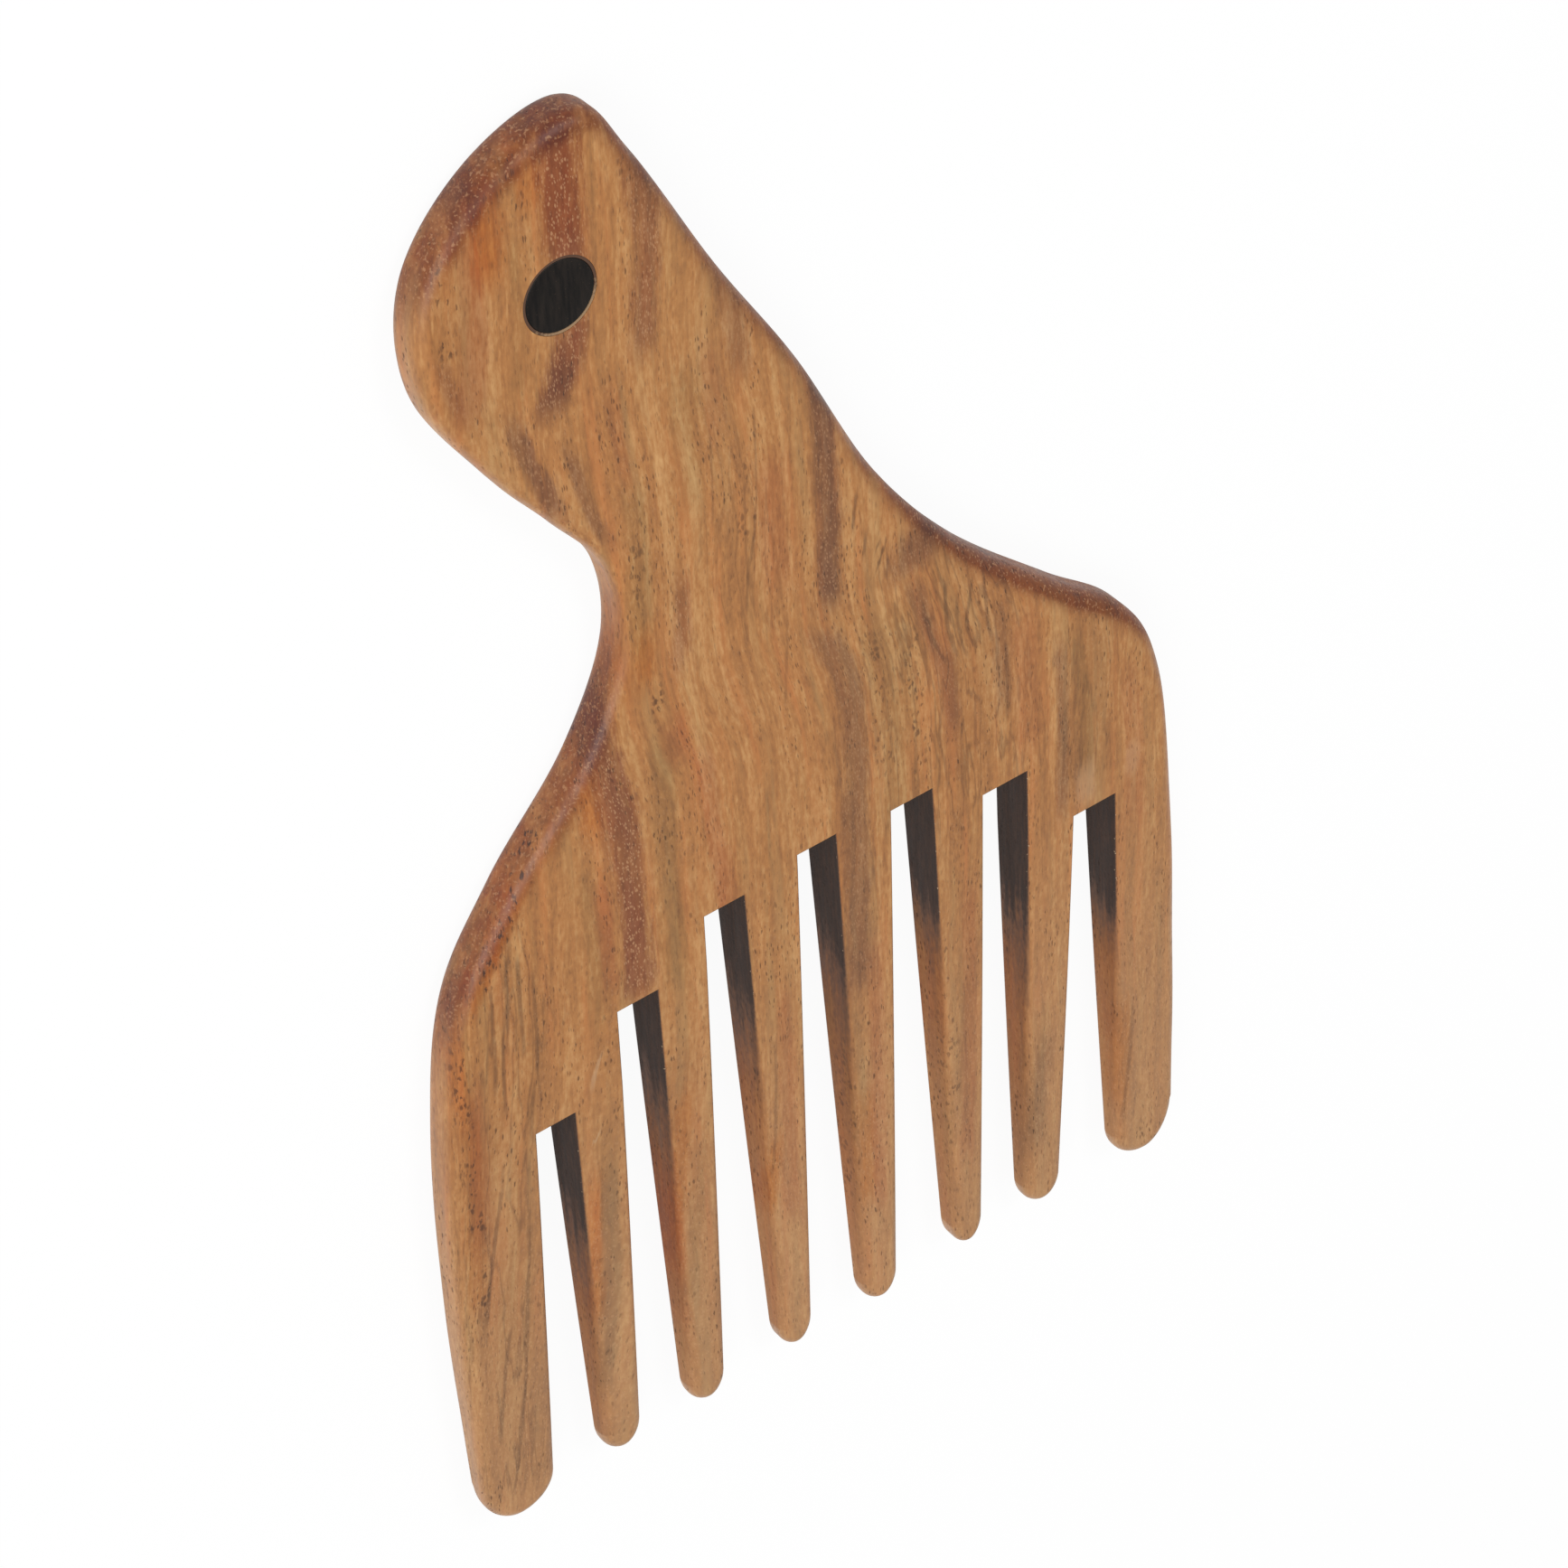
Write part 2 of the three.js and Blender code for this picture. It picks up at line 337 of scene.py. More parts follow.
def combEdge():  # the whole edge anticlockwise from the head, with mitred outward directions
    body = bodyOutline()
    head = len(body) // 2
    points = body[head:] + toothRow() + body[:head]
    places = [Vector((point["x"], point["y"])) for point in points]
    for i, point in enumerate(points):
        before = places[i] - places[i - 1]
        after = places[(i + 1) % len(places)] - places[i]
        normals = [Vector((way.y, -way.x)).normalized() for way in (before, after)]
        mitre = (normals[0] + normals[1]).normalized()
        point["out"] = mitre / mitre.dot(normals[0])
        point["upward"] = max(mitre.y, 0)
    return points


def edgeSection():  # front face over the edge to the back face: inset, drop, land, side, share turned
    steps = combSteps["edge"]
    angles = [math.pi / 2 * i / steps for i in range(steps + 1)]
    quarter = [(1 - math.sin(a), 1 - math.cos(a), 0, i / steps) for i, a in enumerate(angles)]
    quarter = [(1, 0, 1, 0)] + quarter
    front = [(inset, drop, land, 1, turned) for inset, drop, land, turned in quarter]
    return front + [(inset, drop, land, -1, turned) for inset, drop, land, turned in reversed(quarter)]


def band(upper, lower, count):
    pairs = [(i, (i + 1) % count) for i in range(count)]
    return [(upper + i, lower + i, lower + k, upper + k) for i, k in pairs]


def makePiece(name, vertices, faces, material, attributes=None):
    mesh = bpy.data.meshes.new(name)
    mesh.from_pydata(vertices, [], faces)
    for title, values in (attributes or {}).items():
        mesh.attributes.new(title, "FLOAT", "POINT").data.foreach_set("value", values)
    mesh.polygons.foreach_set("use_smooth", [True] * len(mesh.polygons))
    mesh.set_sharp_from_angle(angle=math.radians(sharpAngle))
    mesh.materials.append(material)
    mesh.validate()
    piece = bpy.data.objects.new(name, mesh)
    bpy.context.scene.collection.objects.link(piece)
    return piece


def burnt(slot, y):  # 0 at the root, 1 where the black ends, 2 where the brown ends
    black, brown = slot["burn"]
    depth = slot["rootY"] - y
    return depth / black if depth < black else 1 + (depth - black) / (brown - black)


def aboveTaper(point):
    return not point["tooth"] or point["y"] > point["tooth"]["taperY"] - closeEnough


def onTaper(point):
    return point["y"] < point["tooth"]["taperY"] + closeEnough


def combBody(origin, material):
    edge = combEdge()
    section = edgeSection()
    count = len(edge)
    spots, slotShare, charred, endGrain = [], [], [], []
    for inset, drop, land, side, turn in section:
        for point in edge:
            most = halfThickness(point["tooth"], point["y"]) * shape["roundingLimit"]
            radius = min(point["radius"], most)
            strip = shape["land"] if point["tooth"] else shape["bodyLand"]
            x = point["x"] - point["out"].x * (radius * inset + strip * land)
            y = point["y"] - point["out"].y * (radius * inset + strip * land)
            spots.append((x, y, side * (halfThickness(point["tooth"], y) - radius * drop)))
            slotShare.append(turn if point["slot"] else 0.0)
            charred.append(burnt(point["slot"], y) if point["slot"] else 0.0)
            dark = (shape["endGrainLeast"] + turn) * point["upward"]
            endGrain.append(0.0 if point["slot"] or land else dark)
    rings = [level * count for level in range(len(section))]
    faces = [face for upper, lower in zip(rings, rings[1:]) for face in band(upper, lower, count)]

    hole = shape["plugDiameter"] / 2 + shape["glueLine"]
    holeSteps = combSteps["hole"]
    rims = []
    for side in (1, -1):
        rims.append(len(spots))
        for i in range(holeSteps):
            angle = 2 * math.pi * i / holeSteps
            x = shape["plugPlace"][0] + hole * math.cos(angle)
            y = shape["plugPlace"][1] + hole * math.sin(angle)
            spots.append((x, y, side * shape["thickness"] / 2))
    faces += band(rims[1], rims[0], holeSteps)
    for values in (slotShare, charred, endGrain):
        values += [0.0] * (2 * holeSteps)

    def fill(outer, inner, facesBack):
        ids = outer + inner
        loops = [[Vector(spots[i][:2] + (0,)) for i in loop] for loop in (outer, inner) if loop]
        for corners in tessellate_polygon(loops):
            a, b, c = (Vector(spots[ids[i]]) for i in corners)
            turnsBack = (b - a).cross(c - a).z < 0
            picked = [ids[i] for i in corners]
            faces.append(picked[::-1] if turnsBack != facesBack else picked)

    for ring, rim, facesBack in ((rings[0], rims[0], False), (rings[-1], rims[1], True)):
        inBody = [ring + i for i, p in enumerate(edge) if aboveTaper(p)]
        fill(inBody, list(range(rim, rim + holeSteps)), facesBack)
        for tooth in teeth:
            inTaper = [ring + i for i, p in enumerate(edge) if p["tooth"] is tooth and onTaper(p)]
            fill(inTaper, [], facesBack)

    places = [(Vector(spot) + origin) * metresPerMm for spot in spots]
    attributes = {"slotShare": slotShare, "charred": charred, "endGrain": endGrain}
    return makePiece("combBody", places, faces, material, attributes)


# Wood of the comb: streaks are listed one by one, in millimetres of the drawing, each from the top down
streaks = [  # kind, half width, strength, places
    ("shade", 5.0, 0.9, [(-40.6, -8), (-41, -36), (-41, -66)]),
    ("shade", 5.0, 0.5, [(-36, 8), (-36.6, -4), (-37, -20)]),
    ("shade", 4.0, 0.5, [(16.5, 30), (17.5, 20), (18, 8), (17, -4)]),
    ("shade", 3.5, 0.8, [(32.6, 14), (32.6, 2), (33, -14)]),
    ("shade", 3.0, 0.2, [(15.4, -4), (15.4, -32), (15, -66)]),
    ("shade", 3.0, 0.5, [(-18.4, -14), (-18.6, -40), (-18.8, -66)]),
    ("shade", 2.6, 0.7, [(24.6, -40), (24.8, -52), (25, -66)]),
    ("shade", 3.2, 0.6, [(-34, 82), (-34.6, 74), (-33, 64)]),
    ("heart", 2.0, 1.0, [(-23.8, 95), (-23.1, 90), (-22.9, 86), (-22.9, 80), (-23.2, 74)]),
    ("heart", 1.8, 1.0, [(-23, 75), (-23.2, 70.5), (-24.2, 67), (-25.4, 64.6), (-26.4, 61.5)]),
    ("heart", 1.4, 0.75, [(-17, 87), (-15.2, 81), (-14.8, 77), (-15.4, 71), (-16.2, 63)]),
    ("heart", 1.8, 1.0, [
        (-25.2, 39), (-24.6, 33), (-24.1, 27), (-23.3, 20), (-22.3, 14), (-21.9, 6), (-21.8, -9),
    ]),
    ("heart", 1.0, 0.6, [(-14.2, 42), (-14, 37), (-14.6, 32), (-15.2, 27)]),
    ("heart", 3.6, 0.7, [(-21, 98), (-21, 93), (-20.4, 90)]),
    ("heart", 1.5, 0.8, [(-31.6, 93), (-31.8, 89), (-33.4, 84.5)]),
    ("heart", 0.8, 0.5, [(-36.8, 76), (-35.6, 71), (-34.4, 66)]),
    ("dusk", 1.0, 0.9, [(-30.6, 67), (-28.7, 60.5), (-27.3, 56.5), (-25.2, 49.5)]),
    ("dusk", 0.7, 0.75, [(-25.2, 61.5), (-24, 57), (-23.2, 53), (-20.2, 45)]),
    ("dusk", 1.4, 1.0, [(1.6, 57), (2.5, 48.5), (2.4, 44), (2.6, 39), (2.2, 34), (2, 29), (1.8, 25)]),
    ("dusk", 1.7, 0.7, [
        (-0.8, 28), (2, 22.5), (3.8, 17.5), (4.3, 12), (4.3, 7), (3.8, 1), (4, -8), (3.2, -24),
    ]),
    ("dusk", 2.8, 0.8, [(13.4, 33), (12.4, 29.5), (11, 25)]),
    ("dusk", 1.1, 0.6, [(10.8, 28), (12.6, 22), (14.4, 16), (15.4, 11), (16, 2)]),
    ("dusk", 0.8, 0.6, [(29, 11), (29.4, 0), (29.3, -6), (28.8, -16)]),
    ("dusk", 1.3, 0.5, [(-8.2, 72), (-6.6, 64), (-6, 56)]),
    ("dusk", 0.9, 0.5, [(22.4, 20), (22, 12), (22.2, 2)]),
    ("dusk", 1.5, 0.55, [(-23.8, 70), (-24.6, 66.5), (-25.4, 64.2), (-26.2, 61.5)]),
    ("dusk", 1.0, 0.3, [(-27, -24), (-27.6, -38), (-28.6, -48), (-30, -58)]),
    ("dusk", 1.3, 0.3, [(28.2, -40), (26.8, -46), (25.6, -53), (24.8, -61)]),
    ("rust", 1.1, 0.7, [(-13.8, 21), (-12.4, 13), (-12.2, 8), (-11.7, 3), (-11.6, -5)]),
    ("rust", 1.4, 0.6, [(-15.6, 26), (-15.8, 21.5), (-15.2, 17)]),
    ("rust", 1.8, 0.55, [(-3.6, 50), (-3.6, 42), (-3.2, 30)]),
    ("rust", 1.4, 0.6, [(-33, 88), (-32.4, 76), (-33.4, 70), (-34.6, 64)]),
    ("rust", 1.0, 0.6, [(-25.6, 12), (-25.2, 2), (-24.9, -7)]),
    ("rust", 1.6, 0.5, [(24.6, 17), (25, 8), (24.6, -5)]),
    ("rust", 1.0, 0.4, [(-40.6, -4), (-41, -18), (-41.8, -30)]),
    ("rust", 1.1, 0.5, [(-20.6, -28), (-20.4, -44), (-19.8, -58)]),
    ("rust", 1.0, 0.5, [(-9.6, 66), (-9.2, 58), (-9.4, 50)]),
    ("rust", 0.9, 0.5, [(-19.8, 66), (-19.4, 58), (-18.4, 50)]),
    ("rust", 1.2, 0.5, [(37.4, 4), (38.2, -8), (38.6, -22)]),
    ("rust", 0.9, 0.6, [(-5.4, -14), (-5.6, -30), (-6, -50)]),
    ("rust", 0.9, 0.6, [(5.6, -14), (5.4, -36), (5, -56)]),
    ("rust", 0.9, 0.6, [(17.6, -14), (17, -36), (16.4, -56)]),
    ("amber", 1.7, 0.95, [(-30.5, 89.5), (-30.7, 83), (-31, 77)]),
    ("amber", 2.0, 0.8, [(-23.6, 94), (-23, 88), (-23, 77)]),
    ("amber", 1.3, 0.8, [(-26.2, 92), (-26, 88), (-25.8, 83)]),
    ("amber", 1.1, 0.8, [(-18, 38), (-18.4, 32), (-18.8, 27.5)]),
    ("amber", 1.3, 0.8, [(-25.6, 25), (-25.5, 20), (-25, 13)]),
    ("amber", 1.2, 0.75, [(-21.4, 42), (-21.8, 35), (-21.4, 29)]),
    ("amber", 1.2, 0.9, [(-32.2, 17.5), (-34.2, 13.4), (-36.6, 9.2), (-39.4, 4.4), (-41.6, 0)]),
    ("amber", 1.0, 0.55, [(-41.6, 5), (-42.5, -4), (-41.8, -14), (-42.6, -26), (-43.2, -38)]),
    ("amber", 1.0, 0.65, [(-17.6, -20), (-19, -33), (-20, -41), (-20.3, -50)]),
    ("amber", 0.9, 0.65, [(-28.6, -24), (-29.2, -32), (-29.6, -39), (-29.8, -48)]),
    ("amber", 0.9, 0.7, [(-6.8, -33), (-8.2, -42), (-9.2, -48)]),
    ("amber", 1.0, 0.6, [(3.6, -34), (3.8, -43), (3.6, -54)]),
    ("amber", 1.2, 0.5, [(37, -42), (37, -52), (37.2, -62)]),
    ("grey", 1.2, 0.6, [(-18.4, 54), (-18, 45), (-18.4, 39), (-19, 31)]),
    ("grey", 1.3, 0.55, [(-17.9, 25), (-17.5, 12), (-17.6, 0), (-18, -10)]),
    ("grey", 1.1, 0.5, [(-26.9, 14), (-26.6, 2), (-26.8, -10)]),
    ("grey", 1.8, 0.45, [(-12.4, 64), (-12.2, 54), (-12.6, 44)]),
    ("grey", 2.8, 0.45, [(8.4, 26), (8.8, 14), (9.2, 3), (9.6, -6)]),
    ("grey", 0.9, 0.6, [(31, 11), (31.6, 4), (32.2, -2), (32, -12)]),
    ("grey", 0.8, 0.5, [(-28, 85), (-28.4, 73), (-29.2, 64)]),
    ("grey", 1.2, 0.4, [(-27.2, -18), (-27.4, -30), (-27.8, -40), (-28.6, -48), (-30, -60)]),
    ("grey", 1.0, 0.4, [(-16.6, -28), (-17, -36), (-18.4, -45), (-19.4, -54)]),
    ("grey", 1.4, 0.4, [(2.8, -20), (2.4, -32), (2, -44)]),
    ("grey", 1.2, 0.3, [(16.6, -22), (16.6, -34), (16.2, -52)]),
    ("grey", 1.0, 0.45, [(26.8, -36), (26, -46), (25, -60)]),
    ("line", 0.16, 0.6, [(-5, 55), (-5.2, 46), (-5.8, 40), (-6.8, 35), (-7.1, 31)]),
    ("line", 0.14, 0.6, [(-9.8, 55), (-9.9, 48), (-10.2, 43)]),
    ("line", 0.2, 0.9, [(5.9, 40), (5.4, 37), (5, 34)]),
    ("line", 0.2, 0.9, [(6.8, 35), (6.4, 32.5), (6.1, 30.5)]),
    ("line", 0.16, 0.95, [(9.2, 32.4), (8.2, 30.2), (7.2, 28)]),
    ("line", 0.15, 0.8, [(8.3, 32.6), (7.4, 30.6)]),
    ("line", 0.24, 0.95, [(18.8, 23), (18.2, 19.5), (17.9, 17.4), (18.3, 15.4), (19.6, 13)]),
    ("line", 0.22, 0.85, [(20, 24), (20.2, 19), (20.5, 16), (21, 12.5)]),
    ("line", 0.2, 0.8, [(15.6, 24), (15.5, 19), (16, 16), (17.2, 12.6)]),
    ("line", 0.2, 0.7, [(17, 22), (16.8, 18.6), (17.2, 15.6), (18.2, 12.6)]),
    ("line", 0.28, 0.8, [(12.6, 23), (13.4, 18.6), (14.4, 16), (15.8, 13)]),
    ("line", 0.2, 0.6, [(22.4, 13), (22.6, 8), (22.4, 2)]),
    ("line", 0.2, 0.65, [(18.9, 9), (18.6, 5), (18.8, 0)]),
    ("line", 0.22, 0.8, [(-35.7, 8), (-36.3, 3), (-36.7, -3)]),
    ("line", 0.24, 0.8, [(-34.8, 7), (-35, 0), (-35.2, -7)]),
    ("line", 0.22, 0.75, [(-38, 5), (-38.2, -2), (-38.8, -10)]),
    ("line", 0.2, 0.75, [(-36.9, 0), (-37.5, -6), (-37.8, -13)]),
    ("line", 0.2, 0.7, [(-33.4, 4), (-33.6, -4), (-34.2, -10)]),
    ("line", 0.22, 0.7, [(-34, -9), (-34.8, -12.5), (-35.4, -18)]),
    ("line", 0.24, 0.8, [(-38.8, -20), (-40.6, -28), (-42.6, -39)]),
    ("line", 0.24, 0.75, [(-37.6, -38), (-39, -50), (-41.6, -64)]),
    ("line", 0.22, 0.7, [(-39.8, -40), (-41.4, -49), (-42.4, -56)]),
    ("line", 0.2, 0.6, [(-36.2, -24), (-37.4, -36), (-38.6, -45)]),
    ("line", 0.24, 0.6, [(38.6, -44), (38.2, -51), (37.6, -58), (37, -63)]),
    ("line", 0.2, 0.6, [(-6.8, -22), (-7.2, -32), (-8.2, -41)]),
    ("line", 0.16, 0.4, [(-2.6, 30), (-3, 24), (-3.6, 18)]),
    ("curl", 9.0, 1.0, [(13, 32), (16, 20), (17, 6), (16, -10)]),
    ("curl", 5.0, 0.8, [(-36, 12), (-36.6, -4), (-37.4, -24)]),
    ("curl", 4.0, 0.8, [(-40, -18), (-41, -40), (-41, -66)]),
    ("curl", 4.0, 0.6, [(-6, 56), (-7, 42), (-8, 26)]),
    ("curl", 4.0, 0.6, [(33, 16), (33, 2), (33, -12)]),
    ("chalk", 1.1, 0.3, [(31.8, -7), (32.2, -11), (32.4, -15)]),
    ("chalk", 0.8, 0.25, [(38.2, -8), (38, -14)]),
    ("chalk", 0.25, 0.35, [(-26, -9.6), (-27.4, -12.4), (-28.4, -16)]),
    ("chalk", 0.2, 0.35, [(-27.4, -20.2), (-28.9, -22.4)]),
    ("pits", 0.9, 1.0, [
        (-29.4, 22.5), (-31.9, 17), (-33.9, 13), (-36.4, 9), (-38.9, 4.6), (-41.2, 0.6),
    ]),
    ("pits", 1.0, 1.0, [(-34.4, 86), (-34.9, 81), (-36.6, 77)]),
    ("pits", 0.9, 1.0, [(-33.8, 81), (-34.6, 77), (-36, 72)]),
    ("pits", 0.8, 0.6, [(-18.8, 51), (-18.2, 44), (-18.6, 40), (-18, 35)]),
    ("pits", 0.8, 0.5, [(-6.4, 53), (-6.8, 45), (-7.8, 36), (-9, 31)]),
    ("pits", 0.9, 0.8, [(-41.8, 2), (-42.4, -10), (-42.4, -20), (-42.4, -33), (-41.8, -42)]),
    ("pits", 0.7, 0.8, [(-17.6, 31.5), (-17.4, 28), (-17.4, 23.5)]),
    ("pits", 1.3, 0.6, [(6.6, 24), (7.4, 12), (8.4, 1)]),
    ("pits", 1.1, 0.7, [(11, 22), (11.6, 12), (12, -1)]),
    ("pits", 0.7, 0.6, [(-7, -30), (-7.4, -36), (-7.2, -41)]),
    ("pits", 1.0, 0.5, [(2.4, -26), (2, -38), (1.8, -54)]),
    ("pits", 1.3, 0.55, [(14.6, -16), (14.6, -30), (14.4, -38), (15.2, -48), (14.6, -60)]),
]
woodLook = {
    "sway": [  # how far the grain has wandered sideways at each height
        (0, 95), (-0.2, 84), (-0.6, 72), (-1, 63), (-0.6, 55), (0, 48), (0.2, 40), (0.2, 32),
        (1, 24), (2.1, 18), (2.8, 12), (3.1, 4), (3, -10), (2.6, -30), (2.4, -70),
    ],
    "leftSway": [(0, 95), (-1, 70), (0, 50), (0, 20), (-0.4, 6), (-1.4, -9), (-2.6, -22), (-7, -70)],
    "shades": [(0.25, tone(127, 80, 43)), (0.5, tone(175, 118, 64)), (0.75, tone(212, 164, 107))],
    "orange": tone(190, 116, 60),
    "olive": tone(170, 130, 80),
    "worn": tone(184, 146, 108),  # the teeth, paler towards the tips
    "chalk": tone(206, 172, 134),
    "grey": tone(222, 234, 236),  # from here to pits each darkens what it lies on
    "shade": tone(238, 235, 232),
    "rust": tone(236, 208, 204),
    "amber": tone(244, 206, 146),
    "dusk": tone(178, 170, 192),
    "heart": tone(188, 158, 164),
    "line": tone(192, 190, 194),
    # end grain's colour, also laid on as painted shade on the right shoulder
    "endGrain": tone(175, 133, 87),
    "pore": tone(170, 166, 164),
    "pits": tone(132, 122, 120),
    "fleck": tone(208, 160, 116),
    "sawn": tone(224, 200, 176),  # the slot walls, rough and warm
    "scorch": tone(82, 60, 49),
    "char": tone(58, 44, 38),
    "lean": 0.3,  # the streaks lean this much through the thickness
    "leastSpan": 0.1,  # millimetres, for lines that run straight down
    "fade": 5,  # millimetres over which a streak ends
    "lineFade": 2,
    "mostFade": 0.4,  # share of a streak's length
    "streakEdge": (1.5, 0.4),  # in half widths, where a streak is gone and where it is full
    "weave": {  # noise: counts per millimetre in x, y and z, detail, seed
        "drift": (0.13, 0.04, 0.1, 1.0, 11),
        "ripple": (0.6, 0.1, 0.5, 1.0, 17),
        "broad": (0.35, 0.018, 0.3, 2.0, 3),
        "narrow": (1.0, 0.07, 0.9, 2.0, 7),
        "fibre": (3.2, 0.3, 3.0, 2.0, 13),
        "speck": (2.8, 1.0, 2.6, 2.0, 19),
        "hue": (0.8, 0.04, 0.6, 3.0, 23),
        "fray": (1.2, 0.1, 1.0, 2.0, 31),
        "hair": (4, 0.5, 4, 1.0, 37),
        "patch": (0.7, 0.14, 0.5, 2.0, 41),
        "ring": (0.5, 0.05, 0.4, 3.0, 61),
        "crowd": (0.4, 0.05, 0.3, 2.0, 47),
        "smoke": (0.6, 0.07, 1.4, 3.0, 53),
    },
    "strokes": {  # dashes: counts per millimetre in x and y, width, share of the cells, seed
        "pores": (4.6, 0.9, 0.46, 0.72, 0),
        "pits": (2.6, 1.1, 0.68, 0.6, 83),
        "flecks": (5.8, 2.0, 0.6, 0.95, 71),
    },
    "strokeDepth": 0.5,  # cells in z for each in x
    "strokeSize": (0.8, 0.3),  # how much the strokes differ in width, and the least
    "strokeCore": 0.4,  # share of the width that is full
    "strokeSoft": 0.1,  # share of the cells whose strokes are weak
    "crumbScale": 3300.0,  # per metre
    "span": {  # where each effect is 0 and where it is full: millimetres, or the value that drives it
        "leftSway": (-12, -40),
        "orange": (0.0, 0.3),
        "olive": (0.0, -0.3),
        "worn": (0, -60),
        "patch": (-0.3, 0.1),
        "vein": (0.14, 0.0),
        "crowd": (-0.08, 0.14),
        "grit": (-8, -44),
        "ring": (-0.22, 0.2),
        "headDark": (40, 75),
        "rightDark": (0, 15, 1.25),  # the last is its most: end grain with painted shade on the right shoulder
        "endGrain": (0.03, 0.5),
        "endFleck": (0.06, 0.2),
        "wall": (0.4, 0.65),
        "sawn": (3.2, 1.6),
        "scorchEdge": (0.15, 0.8),
        "scorchEnd": (2.0, 1.0),
        "sootEnd": (1.3, 0.95),
        "chip": (0.2, 0.24),
        "chipFront": (0.2, 0.4),
        "chipWall": (0.95, 0.7),
        "chipEnd": (1.2, 0.8),
    },
    "share": {  # how strong each effect is
        "drift": 1.6,  # sway of the grain, millimetres
        "ripple": 0.5,
        "fray": 1.2,  # unevenness of the streaks' sides, half widths
        "hair": 0.9,
        "ragged": 1.2,  # and of their ends, millimetres
        "frayed": 0.35,  # unevenness of the strokes, millimetres
        "frayedPits": 0.6,
        "hue": 0.6,
        "worn": 0.34,
        "patchLeast": 0.7,
        "vein": 0.18,
        "veinCurl": 0.5,
        "poreLeast": 0.3,
        "poreGrit": 0.45,
        "fleckDusk": 0.6,
        "fleckCrowd": 0.3,
        "fleckGrit": 0.5,
        "fleckSlant": 0.1,
        "fleck": 0.45,
        "ring": 0.6,
        "ringLeast": 0.65,
        "headLeast": 0.8,
        "endFleck": 0.28,
        "emberSmoke": 0.8,
        "emberSpeck": 0.5,
        "emberFront": 0.05,
        "wallCrumbs": 0.3,
        "sawnLeast": 0.5,
        "scorch": 0.9,
        "charFibre": 1.2,
        "charSpeck": 0.6,
        "char": 0.88,
        "chip": 0.8,
    },
    "veinRepeat": 4,  # how often the rings fold into veins
    "bright": {"broad": 0.36, "narrow": 0.3, "fibre": 0.24, "speck": 0.3, "base": 0.5},
    "rough": {"narrow": 0.3, "base": 0.42, "pores": 0.2, "walls": 0.3, "soot": 0.15, "endGrain": 0.06},
    "relief": {"fibre": 0.4, "speck": 0.3, "pits": 0.4, "soot": 0.8, "crumbs": 0.1},
    "bumpStrength": 0.3,
    "bumpDepth": 0.0001,  # metres
    "specular": 0.5,
}


def wanderingLine(along, places):  # the x of a line through these places, and how far down it is
    top, bottom = places[0][1], places[-1][1]
    low = min(px for px, py in places)
    span = max(max(px for px, py in places) - low, woodLook["leastSpan"])
    ends = {"Value": along, "From Min": top, "From Max": bottom}
    down = along.node("MapRange", {"clamp": False}, ends)
    course = [((top - py) / (top - bottom), (px - low) / span) for px, py in places]
    return along.node("FloatCurve", {"curve": course}, {"Value": down}) * span + low, down


def streakMask(x, ragged, jag, kind, half, strength, places):
    centre, down = wanderingLine(ragged, places)
    ending = woodLook["lineFade"] if kind == "line" else woodLook["fade"]
    fade = min(ending / (places[0][1] - places[-1][1]), woodLook["mostFade"])
    shown = abs(down - 0.5).step(0.5, 0.5 - fade)
    gone, full = woodLook["streakEdge"]
    return (abs(x - centre) / half + jag).step(gone, full, strength) * shown


